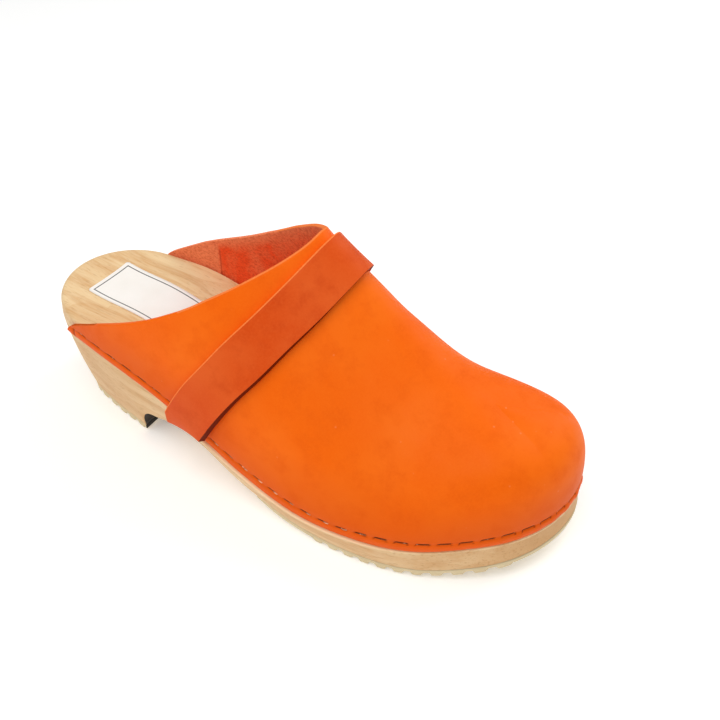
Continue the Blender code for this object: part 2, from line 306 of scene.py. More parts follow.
def leather(turn, share, side):
    """Outer face: Bezier from hem to ridge. share is 0 at the hem and 1 on the ridge."""
    x = station(turn)
    fan = np.clip((x - TOE_FAN) / (LENGTH - TOE_FAN), 0, 1)
    ridge_x = x - TOE_REACH * fan**2
    top = curve(LAST, "ridge", ridge_x)
    step = 1 * MM
    fall = (curve(LAST, "ridge", ridge_x + step) - curve(LAST, "ridge", ridge_x - step)) / (2 * step)
    edge = outline(turn, side, LEATHER + GAP - rebate(x))
    foot = hem(x)
    off_x = edge[..., 0] - ridge_x
    off_y = edge[..., 1] - curve(LAST, "offset", ridge_x)
    reach = np.hypot(off_x, off_y)
    crown = curve(LAST, "crown", ridge_x)
    b0, b1 = (1 - share) ** 3, 3 * (1 - share) ** 2 * share
    b2, b3 = 3 * (1 - share) * share**2, share**3
    out = b0 * reach + b1 * (reach + curve(LAST, "bulge", ridge_x)) + b2 * crown
    wall = foot + curve(LAST, "wall", ridge_x) * (top - foot)
    z = b0 * foot + b1 * wall + b2 * (top + fall * crown * off_x / reach) + b3 * top
    y = curve(LAST, "offset", ridge_x) + out * off_y / reach
    return np.stack([ridge_x + out * off_x / reach, y, z], -1)


def leather_normal(turn, share, side):
    """Cross product of two small steps on the skin, averaged over both sides where they meet."""
    step, last_turn, last_share = 0.001, np.pi - 0.02, 0.985
    seam = (share > last_share) | (turn > last_turn)
    turn = np.minimum(turn, last_turn)
    share = np.clip(share, step, last_share)

    def one_side(side):
        along = leather(turn + step, share, side) - leather(turn - step, share, side)
        up = leather(turn, share + step, side) - leather(turn, share - step, side)
        normal = np.cross(along, up) * -side
        return normal / np.linalg.norm(normal, axis=-1, keepdims=True)

    normal = one_side(side) + seam[..., None] * one_side(-side)
    return normal / np.linalg.norm(normal, axis=-1, keepdims=True)


def skin(turn, share, side, outset):
    """The outer face moved outwards along its normal."""
    return leather(turn, share, side) + leather_normal(turn, share, side) * np.asarray(outset)[..., None]


def both_sides(half):
    """One sheet from the outer side's hem over the ridge to the inner side's hem."""
    return np.concatenate([half(OUTER), half(INNER)[:, -2::-1]], axis=1)


print("instep height in mm:", round(float(leather(turn_at(0.532 * LENGTH), 1.0, OUTER)[2] / MM), 1))

# %% [markdown]
# ## From sheets to a mesh
# Every piece below is a handful of sheets, each a grid of points. One helper turns them into a
# mesh: it numbers the quads, welds points that coincide to a micrometre, and closes the poles by
# dropping doubled corners. A bmesh loop could do the same, but whole arrays keep a hundred
# thousand points quick.

# %% Mesh helper


def quads_of(rows, columns):
    """Corner numbers of the quads of a grid, row by row."""
    corner = np.arange(rows * columns).reshape(rows, columns)
    around = [corner[:-1, :-1], corner[:-1, 1:], corner[1:, 1:], corner[1:, :-1]]
    return np.stack(around, -1).reshape(-1, 4)


def piece(name, sheets, finishes, slot, replaced=(), **marks):
    """A closed mesh object from (points, finish number) sheets. marks are named values of each sheet's
    points, kept as attributes that a finish can read. The piece rides on the clog's one body."""
    grids = [quads_of(*points.shape[:2]) for points, _ in sheets]
    starts = np.cumsum([0] + [points[..., 0].size for points, _ in sheets])
    points = np.concatenate([points.reshape(-1, 3) for points, _ in sheets]) + HEEL_BACK
    quads = np.concatenate([grid + start for grid, start in zip(grids, starts)])
    finish = np.concatenate([np.full(len(grid), number) for grid, (_, number) in zip(grids, sheets)])
    micrometres = np.round(points / (0.001 * MM)).astype(np.int64)
    _, first, merged = np.unique(micrometres, axis=0, return_index=True, return_inverse=True)
    quads = merged.ravel()[quads]
    doubled = quads == np.roll(quads, -1, axis=1)
    whole, poles = ~doubled.any(axis=1), doubled.sum(axis=1) == 1
    triangles = quads[poles][~doubled[poles]].reshape(-1, 3)
    mesh = bpy.data.meshes.new(name)
    mesh.from_pydata(points[first], [], quads[whole].tolist() + triangles.tolist())
    mesh.polygons.foreach_set("material_index", np.concatenate([finish[whole], finish[poles]]))
    for mark, values in marks.items():
        flat = np.concatenate([np.ravel(value) for value in values])[first]
        mesh.attributes.new(mark, "FLOAT", "POINT").data.foreach_set("value", flat.astype(np.float32))
    shape = bmesh.new()
    shape.from_mesh(mesh)
    bmesh.ops.recalc_face_normals(shape, faces=shape.faces)
    shape.to_mesh(mesh)
    shape.free()
    mesh.shade_smooth()
    for material in finishes:
        mesh.materials.append(material)
    made = bpy.data.objects.new(name, mesh)
    bpy.context.scene.collection.objects.link(made)
    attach(made, "root")
    if replaced:
        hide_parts(*replaced)
    print(name, "has", len(mesh.vertices), "points and", len(mesh.polygons), "faces")
    return made


def wall(outer, inner, face, back, cut):
    """Sheets of a wall from its two faces: the faces and the four cut edges between them."""
    edges = [np.stack([outer[i], inner[i]]) for i in (0, -1)]
    ends = [np.stack([outer[:, j], inner[:, j]]) for j in (0, -1)]
    return [(outer, face), (inner, back), *((strip, cut) for strip in edges + ends)]


def round_cut_edges(made, width):
    """A Bevel modifier that takes the sharpness off edges over 50 degrees."""
    bevel = made.modifiers.new("cut edges", "BEVEL")
    bevel.width = width
    bevel.segments = 2
    bevel.limit_method = "ANGLE"
    bevel.angle_limit = np.radians(50)


# %% [markdown]
# ## Finishes
# Each finish is a small network of nodes on one Principled shader. All patterns read Object
# coordinates, so they run through the piece as the real material does, and each scale is worked
# out from a size in millimetres. One function adds a node, sets its values and links its sockets,
# and a few short ones on top of it make the nodes that every finish needs.

# %% Helpers for the finishes


def linear(hex_colour):
    """Linear RGBA from an sRGB hex colour."""
    srgb = np.array([int(hex_colour[i : i + 2], 16) for i in (1, 3, 5)]) / 255
    rgb = np.where(srgb <= 0.04045, srgb / 12.92, ((srgb + 0.055) / 1.055) ** 2.4)
    return (*rgb.tolist(), 1)


def per_mm(size):
    """Texture scale that makes a pattern's features about this many millimetres wide."""
    return 1 / (size * MM)


def add(tree, kind, inputs=None, **settings):
    """Adds a node, sets its properties, and links or sets each named or numbered input."""
    made = tree.nodes.new("ShaderNode" + kind)
    for name, value in settings.items():
        setattr(made, name, value)
    for name, value in (inputs or {}).items():
        if isinstance(value, bpy.types.NodeSocket):
            tree.links.new(value, made.inputs[name])
        else:
            made.inputs[name].default_value = value
    return made


def new_finish(name, **values):
    """A material, its node tree, its shader and its Object coordinates. values are set on the shader."""
    material = bpy.data.materials.new(name)
    material.use_nodes = True
    tree = material.node_tree
    shader = tree.nodes["Principled BSDF"]
    for socket, value in values.items():
        shader.inputs[socket.replace("_", " ").title().replace("Ior", "IOR")].default_value = value
    return material, tree, shader, add(tree, "TexCoord").outputs["Object"]


# %% Nodes that every finish needs
# Numbers of the Mix node's colour sockets
FACTOR, BELOW, ABOVE, BLEND = 0, 6, 7, 2


def noise(tree, place, size, detail, **inputs):
    """Noise around a half, with features of this many millimetres."""
    inputs |= {"Vector": place, "Scale": per_mm(size), "Detail": detail}
    return add(tree, "TexNoise", inputs).outputs[0]


def drawn_out(tree, place, share):
    """Coordinates that draw a pattern out along X, because they count X at this share."""
    return add(tree, "Mapping", {"Vector": place, "Scale": (share, 1, 1)}).outputs[0]


def spread(tree, value, start, end, low=0, high=1):
    """The range start to end of a value, turned into the range low to high and held at its ends."""
    inputs = {"Value": value, "From Min": start, "From Max": end, "To Min": low, "To Max": high}
    return add(tree, "MapRange", inputs).outputs[0]


def maths(tree, operation, *values):
    """One step of arithmetic on sockets or numbers."""
    return add(tree, "Math", dict(enumerate(values)), operation=operation).outputs[0]


def on_points(tree, name):
    """A value that the piece keeps on its points."""
    return add(tree, "Attribute", attribute_name=name).outputs["Fac"]


def layers(tree, tone, *coats):
    """Colours laid over a first one in turn, each by its own factor from 0 to 1."""
    tone = linear(tone)
    for factor, colour in coats:
        inputs = {FACTOR: factor, BELOW: tone, ABOVE: linear(colour)}
        tone = add(tree, "Mix", inputs, data_type="RGBA").outputs[BLEND]
    return tone


def dress(tree, shader, tone, rough=None, height=None, depth=0, strength=1):
    """Links a colour to the shader and, where they are given, a roughness and the height of a bump."""
    links = {"Base Color": tone, "Roughness": rough}
    if height is not None:
        bump = {"Height": height, "Distance": depth, "Strength": strength}
        links["Normal"] = add(tree, "Bump", bump).outputs[0]
    for name, socket in links.items():
        if socket is not None:
            tree.links.new(socket, shader.inputs[name])


# %% [markdown]
# ### Alder
# The sole is pale alder, sanded and left almost bare. Alder has faint growth rings, short dark
# vessel lines along the grain and a fine silky fibre. A flat image could show one face of that,
# but rings computed through the block also give the end grain at the toe. The rings are cylinders
# round a heart that lies below and beside the sole, bent a little by stretched noise. A value on the
# points, sawn, darkens the side wall and the end grain, and below 0 it mixes in a painted highlight
# where the corner of the ledge catches the light. The hollow ahead of the heel is nearly black with
# shade, so the same wood is made a second time, nearly black, as painted shade.

# %% Alder finish
RING_WIDTH, RING_SWAY, SWAY_SIZE = 4.2, (0.012, 0.012, 0.012), 22  # widths in mm, the sway in metres


def alder(name, early, late, warm, silky, pores, end_grain, painted_light):
    """Ring bands from the distance to the heart, plus fibre and vessel noise drawn out along X. The
    value sawn opens the pores and mixes in the tone of end grain, or a painted highlight where it is below
    0."""
    material, tree, shader, place = new_finish(name, roughness=0.52, ior=1.45)
    to_heart = {"Vector": place, "Location": (0, 0.055, 0.075), "Rotation": (0, 0.05, 0.03)}
    heart = add(tree, "Mapping", to_heart).outputs[0]
    waves = {"Vector": drawn_out(tree, place, 0.12), "Scale": per_mm(SWAY_SIZE), "Detail": 2}
    bend = {0: add(tree, "TexNoise", waves).outputs["Color"], 1: RING_SWAY, 2: heart}
    bent = add(tree, "VectorMath", bend, operation="MULTIPLY_ADD").outputs[0]
    bands = {"Vector": bent, "Scale": per_mm(RING_WIDTH) / 20 * np.pi, "Distortion": 0.6, "Detail": 2}
    rings = add(tree, "TexWave", bands, wave_type="RINGS", rings_direction="X", wave_profile="SAW")
    along = drawn_out(tree, place, 0.06)
    fibre, streak = noise(tree, along, 0.9, 4), noise(tree, along, 5, 3)
    vessel = spread(tree, noise(tree, drawn_out(tree, place, 0.16), 0.8, 1), 0.6, 0.72)
    sawn = on_points(tree, "sawn")
    open_pores = maths(tree, "MULTIPLY_ADD", sawn, 0.22, 0.25)
    tone = layers(
        tree, early,
        (spread(tree, rings.outputs["Fac"], 0.35, 1, 0, 0.6), late),
        (spread(tree, streak, 0.42, 0.66, 0, 0.8), warm),
        (spread(tree, fibre, 0.35, 0.7, 0, 0.4), silky),
        (maths(tree, "MULTIPLY", vessel, open_pores), pores),
        (maths(tree, "MULTIPLY", sawn, 0.36), end_grain),
        (maths(tree, "MULTIPLY", sawn, -0.8), painted_light),
    )
    sheen = spread(tree, fibre, 0, 1, 0.44, 0.62)
    relief = maths(tree, "SUBTRACT", fibre, vessel)
    dress(tree, shader, tone, sheen, relief, 0.05 * MM, 0.6)
    return material


# the last tone is a painted highlight for the corner of the ledge
alder_tones = ("#EBCA98", "#DCB079", "#D2A066", "#F2DAB0", "#A9733A", "#C68E4C", "#FCE2B8")
alder_finish = alder("sanded_alder", *alder_tones)
# painted shade: the same alder made nearly black for the shaded hollow ahead of the heel
painted_shade_tones = ("#1E1408", "#180F05", "#150C04", "#241809", "#0C0702", "#180F05", "#1E1408")
painted_shade_finish = alder("alder_painted_shade", *painted_shade_tones)
print("finishes:", alder_finish.name, painted_shade_finish.name)

# %% [markdown]
# ## Wooden sole
# The block is sawn to the plan, its top is dished for the foot, and a step is milled round the edge
# so that the leather lies nearly flush. It could be a box cut by modifiers, but rings of the plan,
# moved in and out from the rim down to the lower edge, follow the taper of the heel exactly. The
# rounded corners are quarter circles within those rings. From the arch to the ball the ledge stands
# out a little below the leather, and its corner gets a painted highlight where it catches the light.

# %% Wooden sole
HEEL_RIM, COVERED_RIM = 2.2 * MM, 0.7 * MM  # round of the rim, bare at the heel and under the leather
RIM_CHANGES = (35 * MM, 65 * MM)  # from the one to the other
LOWER_ROUND, LEDGE_ROUND, LEDGE_OUT = 0.6 * MM, 0.7 * MM, 1.1 * MM
LEDGE_GROWS, LEDGE_FADES = (0.22 * LENGTH, 0.4 * LENGTH), (0.7 * LENGTH, 0.85 * LENGTH)
SEAT_DRAFT, LEDGE_FALL = 0.5 * MM, 0.3 * MM
DARK_FROM, DARK_TO = BREAST - 0.01 * MM, BREAST + 0.5 * BREAST_RUN
END_GRAIN_FROM, END_GRAIN, BELOW_LEDGE = 0.88 * LENGTH, 1.2, -0.7  # what they add to the value sawn


def side_inset(x, depth, step):
    """How far the side wall lies inside the plan at a depth below the step. It grows with the power
    1.5 of the depth and meets TAPER at the lower edge. Across the hollow ahead of the heel the wall
    of the heel runs on into the wall of the arch."""
    full_depth = step - OUTSOLE
    at_floor = curve(TAPER, "inset", x) * (full_depth / (step - underside(x))) ** 1.5
    hollow = (x > BREAST) & (x < BREAST + BREAST_RUN)
    at_floor = np.interp(x, x[~hollow], at_floor[~hollow])
    return at_floor * np.clip(depth / full_depth, 0, 1) ** 1.5


def wooden_sole():
    """Rings (outset, height): quarter round of the rim, seat, ledge, side wall, quarter round of the
    lower edge. Two caps close them, and the hollow of the lower one has painted shade, nearly black.
    Also returns the value sawn of every point: 0 on top, about 1 on the side wall, more on the end
    grain of the toe, and -1 along the ledge, which takes a painted highlight."""
    ends = np.linspace(0, np.pi, 201)
    breast = turn_at(BREAST + BREAST_RUN * np.linspace(0, 1, 17) ** 2)
    turns = np.unique(np.concatenate([ends, breast]))
    x = station(turns)
    rim, low, step = curve(SOLE, "rim", x), underside(x), hem(x) - GAP
    seat, share_of_step = -rebate(x), rebate(x) / REBATE
    quarter = np.linspace(0, np.pi / 2, 7)[:, None]
    down = np.linspace(0, 1, 25)[1:, None]
    rim_round = HEEL_RIM + (COVERED_RIM - HEEL_RIM) * ease(x, *RIM_CHANGES)
    ledge_round = LEDGE_ROUND * share_of_step
    ledge_out = LEDGE_OUT * ease(x, *LEDGE_GROWS) * (1 - ease(x, *LEDGE_FADES))
    wall_top, wall_foot = step - LEDGE_FALL - ledge_round, low + LOWER_ROUND
    wall_z = wall_top + (wall_foot - wall_top) * down
    wall_out = ledge_out * (1 - down) - side_inset(x, wall_top - wall_z, step)
    outset = np.concatenate([
        seat - SEAT_DRAFT - rim_round * (1 - np.sin(quarter)),
        [seat - SEAT_DRAFT / 2],
        [seat],
        ledge_out - ledge_round * (1 - np.sin(quarter)),
        wall_out,
        wall_out[-1] - LOWER_ROUND * (1 - np.cos(quarter[1:])),
    ])
    z = np.concatenate([
        rim - rim_round * (1 - np.cos(quarter)),
        [(rim - rim_round + step) / 2],
        [step],
        step - LEDGE_FALL - ledge_round * (1 - np.cos(quarter)),
        wall_z,
        wall_foot - LOWER_ROUND * np.sin(quarter[1:]),
    ])

    def ring(side):
        points = np.concatenate([outline(turns, side, outset), z[..., None]], axis=-1)
        hollow = rim - footbed(points[0, :, 0], points[0, :, 1])
        points[: len(quarter), :, 2] -= hollow * (1 - np.sin(quarter))
        return points

    around, outer, inner = both_sides(ring), ring(OUTER), ring(INNER)
    across = np.linspace(0, 1, 41)[:, None, None]
    top, sole = (outer[i] + across * (inner[i] - outer[i]) for i in (0, -1))
    top[..., 2] = footbed(top[..., 0], top[..., 1])
    start, end = np.searchsorted(x, [DARK_FROM, DARK_TO])
    bare, dark = range(2)
    soles = [(sole[:, : start + 1], bare), (sole[:, start : end + 1], dark), (sole[:, end:], bare)]
    sheets = [(around, bare), (top, bare), *soles]
    sawn = [np.zeros(points.shape[:2]) for points, _ in sheets]
    ledge_row = len(outset) - len(wall_out) - 2 * len(quarter) + 1
    wall_row = ledge_row + len(quarter)
    # painted highlight: below 0 along the ledge's corner, where it catches the light
    bright = -ledge_out / LEDGE_OUT * np.cos(quarter)
    on_side = 1 + BELOW_LEDGE * ledge_out / LEDGE_OUT + END_GRAIN * ease(x, END_GRAIN_FROM, LENGTH)
    sawn[0][ledge_row:wall_row] = both_sides(lambda side: bright)
    sawn[0][wall_row:] = both_sides(lambda side: on_side[None])
    return sheets, sawn


wood_sheets, sawn = wooden_sole()
wood_finishes = [alder_finish, painted_shade_finish]
piece("carved_sole", wood_sheets, wood_finishes, "alder_wood", ["wooden_sole"], sawn=sawn)

# %% [markdown]
# ### Rubber
# The outsoles are natural rubber, moulded, pale beige and quite matt, with the faint grain of the
# mould. It could take one flat colour, but rubber is rougher and a little greyer than the wood above
# it, and dust clouds it softly.

# %% Rubber finish


def natural_rubber():
    """A beige tone clouded by noise of 8 mm, with a fine mould grain as bump."""
    material, tree, shader, place = new_finish("moulded_rubber", roughness=0.68, ior=1.52)
    tone = layers(tree, "#D2BC90", (noise(tree, place, 8, 4), "#E4D3AC"))
    grain = noise(tree, place, 0.5, 3)
    dress(tree, shader, tone, spread(tree, grain, 0, 1, 0.6, 0.78), grain, 0.04 * MM, 0.7)
    return material


rubber_finish = natural_rubber()
print("finish:", rubber_finish.name)

# %% [markdown]
# ## Outsoles
# Two rubber layers are glued below the wood: one under the heel, one from the arch to the toe. Ribs
# cross them, with flat tips where the clog stands. Each rib could be its own block, but one relief
# along the length, rising and falling with soft corners, gives the saw-tooth edge that shows from
# the side. Before and after the ribs the rubber runs on plain and a little thinner. The front end of
# the heel's rubber faces the dark hollow and takes the same painted shade as the wood there.

# %% Outsoles
RIB_PITCH, RIB_DEPTH, RIB_TIP, RIB_RAMP = 7.4 * MM, 1.8 * MM, 3.2 * MM, 1 * MM
SMOOTH_TREAD, SKIVE = 1.2 * MM, 10 * MM
EDGE_ROUND, GLUE = 0.4 * MM, 0.05 * MM


def outsole(name, rear, front, ribs_from, rib_count, skive, front_finish):
    """Sections along the sole: rubber from under the wood down to the relief of the ribs. The rear
    edge is thinned to the share skive over the length SKIVE, and the front end has its own finish."""
    last_valley = ribs_from + (rib_count - 1) * RIB_PITCH + RIB_TIP + 2 * RIB_RAMP
    evenly = np.linspace(turn_at(rear), turn_at(front), int((front - rear) / (0.5 * MM)))
    steps = turn_at(np.array([ribs_from - 0.1 * MM, ribs_from, last_valley, last_valley + 0.1 * MM]))
    turns = np.unique(np.concatenate([evenly, steps]))
    x = station(turns)
    phase = (x - ribs_from) % RIB_PITCH
    half_rib = RIB_TIP / 2 + RIB_RAMP
    valley = ease(np.abs(phase - half_rib), RIB_TIP / 2, half_rib)
    ribbed = (turns >= steps[1]) & (turns <= steps[2])
    relief = np.where(ribbed, RIB_DEPTH * valley, SMOOTH_TREAD)
    top = underside(x) - GLUE
    low = underside(x) - GAP - (OUTSOLE - GAP - relief) * np.interp(x, [rear, rear + SKIVE], [skive, 1])
    inset = -curve(TAPER, "inset", x)
    corner = [(inset, top), (inset, (top + low) / 2), (inset, low + EDGE_ROUND), (inset - EDGE_ROUND, low)]
    halves = []
    for side in (OUTER, INNER):
        lines = [np.column_stack([outline(turns, side, out), z]) for out, z in corner]
        halves.append(np.stack(lines, axis=1))
    outer, inner = halves
    across = np.linspace(0, 1, 9)[:, None]
    low_face = outer[:, -1:] + across * (inner[:, -1:] - outer[:, -1:])
    top_face = inner[:, :1] + across * (outer[:, :1] - inner[:, :1])
    tube = np.concatenate([outer, low_face[:, 1:], inner[:, -2::-1], top_face[:, 1:]], axis=1)
    caps = []
    for end, finish in ((0, 0), (-1, 1)):
        pointed = np.ptp(tube[end][:, 1]) < GLUE  # such an end is closed already
        if not pointed:
            middle = np.broadcast_to(tube[end].mean(axis=0), tube[end].shape)
            caps.append((np.stack([tube[end], middle]), finish))
    finishes = [rubber_finish, front_finish]
    piece(name + "_rubber", [(tube, 0), *caps], finishes, "sole_rubber", [name])


# the front cap of the heel's rubber takes the painted shade of the hollow ahead of it
outsole(
    "outsole_heel", rear=0, front=BREAST, ribs_from=5 * MM, rib_count=8, skive=1,
    front_finish=painted_shade_finish,
)
outsole(
    "outsole_forefoot", rear=137 * MM, front=LENGTH, ribs_from=167.2 * MM, rib_count=11, skive=0.5,
    front_finish=rubber_finish,
)

# %% [markdown]
# ### Nubuck
# The vamp is nubuck: the grain side of a dyed hide, buffed until it has a nap too short to see as
# hair. It is matt, its colour clouds softly where the dye took differently, a few pale specks mark
# pores, and at a low angle the nap glows, which is what sheen is for. The nap is finer than a pixel
# of the picture, so it is drawn a few times coarser to show at all. Two values written on the points
# steer the hem: the height above it, and how much a staple shades the leather there.

# %% Nubuck finish


def nubuck(name, colours, painted_low_shade=0, hem=0):
    """Three tones mixed by noise of 36, 10 and 0.9 mm, pale pores from scattered cells, and nap as bump.
    The first share paints shade that darkens the leather for some way above the hem, and the share hem
    reddens the hem itself. The shadow along the upper edge of a staple's dent is painted dark brown."""
    deep, middle, light, pore = colours
    material, tree, shader, place = new_finish(
        name, roughness=0.55, ior=1.45, specular_ior_level=0.11, sheen_weight=0.01, sheen_roughness=0.4,
        sheen_tint=linear("#FF8020"),
    )
    cloud = noise(tree, place, 36, 3)
    patch = noise(tree, place, 10, 4, Roughness=0.6)
    nap = noise(tree, place, 0.9, 4, Roughness=0.65)
    cells = add(tree, "TexVoronoi", {"Vector": place, "Scale": per_mm(5), "Randomness": 1.0})
    spot = spread(tree, cells.outputs["Distance"], 0.04, 0.12, 0.3, 0)
    chance = add(tree, "SeparateColor", {"Color": cells.outputs["Color"]}).outputs[0]
    rare = maths(tree, "GREATER_THAN", chance, 0.88)
    height = on_points(tree, "hem_height")
    shade = on_points(tree, "staple_shade")
    tone = layers(
        tree, middle,
        (spread(tree, cloud, 0.42, 0.66, 0, 0.8), light),
        (spread(tree, patch, 0.48, 0.78, 0, 0.7), deep),
        (spread(tree, nap, 0.4, 0.75, 0, 0.45), light),
        (maths(tree, "MULTIPLY", spot, rare), pore),
        # painted shade: darker for some way above the hem, where the wall turns away from the light
        (spread(tree, height, 5 * MM, 30 * MM, painted_low_shade, 0), "#D65004"),
        (spread(tree, height, 3 * MM, 4.5 * MM, hem, 0), "#F8641C"),
        # painted shadow along the upper edge of each staple's dent
        (maths(tree, "MULTIPLY", shade, 0.85), "#7A2606"),
    )
    rough = spread(tree, patch, 0.3, 0.7, 0.46, 0.62)
    relief = maths(tree, "MULTIPLY_ADD", patch, 2.0, nap)
    dress(tree, shader, tone, rough, relief, 0.06 * MM, 0.6)
    return material


vamp_tones = ("#E85A00", "#F46500", "#F87010", "#FFA270")
vamp_nubuck = nubuck("orange_nubuck", vamp_tones, painted_low_shade=0.62, hem=0.35)
strap_tones = ("#C8400A", "#D74B0C", "#E26022", "#EE8A62")
strap_nubuck = nubuck("red_orange_nubuck", strap_tones)
print("finishes:", vamp_nubuck.name, strap_nubuck.name)

# %% [markdown]
# ### Suede and cut edges
# Inside, the hide shows its flesh side: suede with a coarse open nap that lies in brushed patches,
# redder than the outside and paler at the rear, with a band of painted light along the collar. Where
# the knife went through, the dye has not reached the middle of the hide and the edge is a paler,
# felted orange. Two edges differ: the front edge of the strap is painted nearly black as the shade of
# the slit beneath it, and the rear end of the outer quarter's edge is a darker brown of painted shade.

# %% Suede and cut-edge finishes
BRUSHED_FROM, LINE_TOP = 61 * MM, 63 * MM  # end of the pale rear part, and top of the dark line there


def suede():
    """Red-orange patches of 14 mm and tufts of 0.9 mm drawn out lengthwise, paler towards the rear, with
    painted light towards the collar, and deep nap bump. A thin dark line ends the pale rear part."""
    material, tree, shader, place = new_finish(
        "red_suede", roughness=0.95, ior=1.4, specular_ior_level=0.15, sheen_weight=0.2, sheen_roughness=0.5,
        sheen_tint=linear("#FF9A70"),
    )
    brushed = noise(tree, place, 14, 3, Distortion=0.6)
    tuft = noise(tree, drawn_out(tree, place, 0.65), 0.9, 4, Roughness=0.7)
    ahead, _, up = add(tree, "SeparateXYZ", {"Vector": place}).outputs
    end = BRUSHED_FROM + HEEL_BACK[0]
    # a band of painted light along the collar
    painted_light = spread(tree, on_points(tree, "from_collar"), 1 * MM, 9 * MM, 0.75, 0)
    rear = spread(tree, ahead, end - 1.5 * MM, end + 1 * MM, 0.8, 0)
    off_line = maths(tree, "ABSOLUTE", maths(tree, "SUBTRACT", ahead, end))
    line = spread(tree, off_line, 0.2 * MM, 0.8 * MM, 0.6, 0)
    low = spread(tree, up, LINE_TOP - 1 * MM, LINE_TOP, 1, 0)
    tone = layers(
        tree, "#FF5A28",
        (spread(tree, brushed, 0.4, 0.6), "#FF7646"),
        (maths(tree, "MAXIMUM", painted_light, rear), "#FF9A68"),
        (maths(tree, "MULTIPLY", line, low), "#B03010"),
        (spread(tree, tuft, 0.42, 0.68, 0, 0.62), "#C03410"),
    )
    dress(tree, shader, tone, height=tuft, depth=0.25 * MM, strength=0.8)
    return material


def cut_edge(name, deep, light, rough):
    """Felted fibres: noise of 0.8 mm in tone and bump."""
    material, tree, shader, place = new_finish(name, roughness=rough, ior=1.45, specular_ior_level=0.08)
    fibre = noise(tree, place, 0.8, 4)
    dress(tree, shader, layers(tree, deep, (fibre, light)), height=fibre, depth=0.1 * MM, strength=0.7)
    return material


suede_finish = suede()
cut_finish = cut_edge("cut_leather_edge", "#EC6A28", "#FF9450", 0.85)
# painted shade: the strap's front edge nearly black for the shade of the slit under it
slit_shade_finish = cut_edge("leather_edge_slit_shade", "#5A1400", "#7C2400", 0.7)
# painted shade: the rear end of the outer quarter's collar edge, a darker brown
collar_edge_shade_finish = cut_edge("leather_edge_painted_shade", "#B4480A", "#CC5A14", 0.8)
print("finishes:", suede_finish.name, cut_finish.name, slit_shade_finish.name, collar_edge_shade_finish.name)

# %% [markdown]
# ## The staple line
# Wire staples hold the hem of the leather to the wood, a few millimetres above the cut edge and a
# hand's breadth apart for every ten of them. Both the dents in the leather and the staples themselves
# need to know where they are. The staples could be placed one by one, but a table of the line's
# height and of the pitch along it is enough: the pitches are added up from the rear end to the toe,
# and a staple sits wherever that count passes a half.

# %% Staple line
STAPLES = table(
    "station height_mm pitch_mm",
    (0.10, 5.0, 11.5),
    (0.20, 4.7, 10.0),
    (0.30, 4.8, 8.6),
    (0.42, 5.2, 8.5),
    (0.54, 5.8, 8.4),
    (0.62, 5.2, 8.6),
    (0.68, 4.2, 8.7),
    (0.76, 5.0, 8.8),
    (0.84, 4.6, 8.6),
    (0.90, 4.4, 8.5),
    (0.95, 5.3, 8.5),
    (1.00, 5.0, 8.5),
)
STAPLE_LENGTH = 5.5 * MM
STAPLES_FROM = turn_at(0.131 * LENGTH)
UPRIGHT_STATION, UPRIGHT_HEIGHT, UPRIGHT_LENGTH = 0.124 * LENGTH, 3.0 * MM, 4.4 * MM


def share_at(turn, height, side):
    """Share of the section at a small height above the hem: the height over the section's speed there."""
    probe = 0.02
    speed = np.linalg.norm(leather(turn, probe, side) - leather(turn, 0, side), axis=-1) / probe
    return height / speed


def staple_count(side):
    """Turns along one side's staple line, and the count of pitches from its rear end to each. The
    count is stretched a little so that it is whole at the toe, where the two sides meet."""
    turns = np.linspace(STAPLES_FROM, np.pi, 3000)
    x = station(turns)
    points = leather(turns, share_at(turns, curve(STAPLES, "height", x), side), side)
    steps = np.linalg.norm(np.diff(points, axis=0), axis=-1) / curve(STAPLES, "pitch", x[1:])
    count = np.concatenate([[0], np.cumsum(steps)])
    return turns, count * round(count[-1]) / count[-1]


STAPLE_COUNT = {side: staple_count(side) for side in (OUTER, INNER)}
for side, word in ((OUTER, "outer"), (INNER, "inner")):
    print(word, "side has", round(STAPLE_COUNT[side][1][-1]), "staples")

# %% [markdown]
# ## Vamp
# The vamp is one hide, pulled over the last. Below the staples its hem is a soft roll, along them it
# is drawn into a shallow valley, and each staple presses a short dent. Round the toe the spare
# leather puffs out between the staples. A few soft troughs show where the hide relaxed after it came
# off the last. They are listed in the table below: where each starts and ends on the skin,
# how wide and how deep it is, and a ridge beside a trough is a row with a negative depth.

# %% Creases placed one by one
CREASES = table(
    "side from_station from_share to_station to_share width_mm depth_mm",
    (OUTER, 0.560, 0.150, 0.700, 0.170, 7.0, 0.45),
    (OUTER, 0.540, 0.270, 0.690, 0.300, 9.0, -0.35),
    (OUTER, 0.445, 0.140, 0.475, 0.330, 6.0, 0.40),
    (OUTER, 0.740, 0.130, 0.760, 0.260, 5.0, 0.30),
    (OUTER, 0.810, 0.130, 0.815, 0.240, 4.5, 0.25),
    (OUTER, 0.230, 0.060, 0.330, 0.090, 6.0, 0.30),
    (INNER, 0.560, 0.160, 0.720, 0.190, 8.0, 0.50),
    (INNER, 0.540, 0.290, 0.690, 0.330, 9.0, -0.35),
    (INNER, 0.445, 0.140, 0.480, 0.330, 6.0, 0.40),
    (INNER, 0.250, 0.060, 0.350, 0.090, 6.0, 0.35),
    (INNER, 0.780, 0.140, 0.790, 0.260, 5.0, 0.30),
    (OUTER, 0.640, 0.620, 0.665, 0.990, 8.0, 0.25),
    (INNER, 0.640, 0.620, 0.665, 0.990, 8.0, 0.25),
)


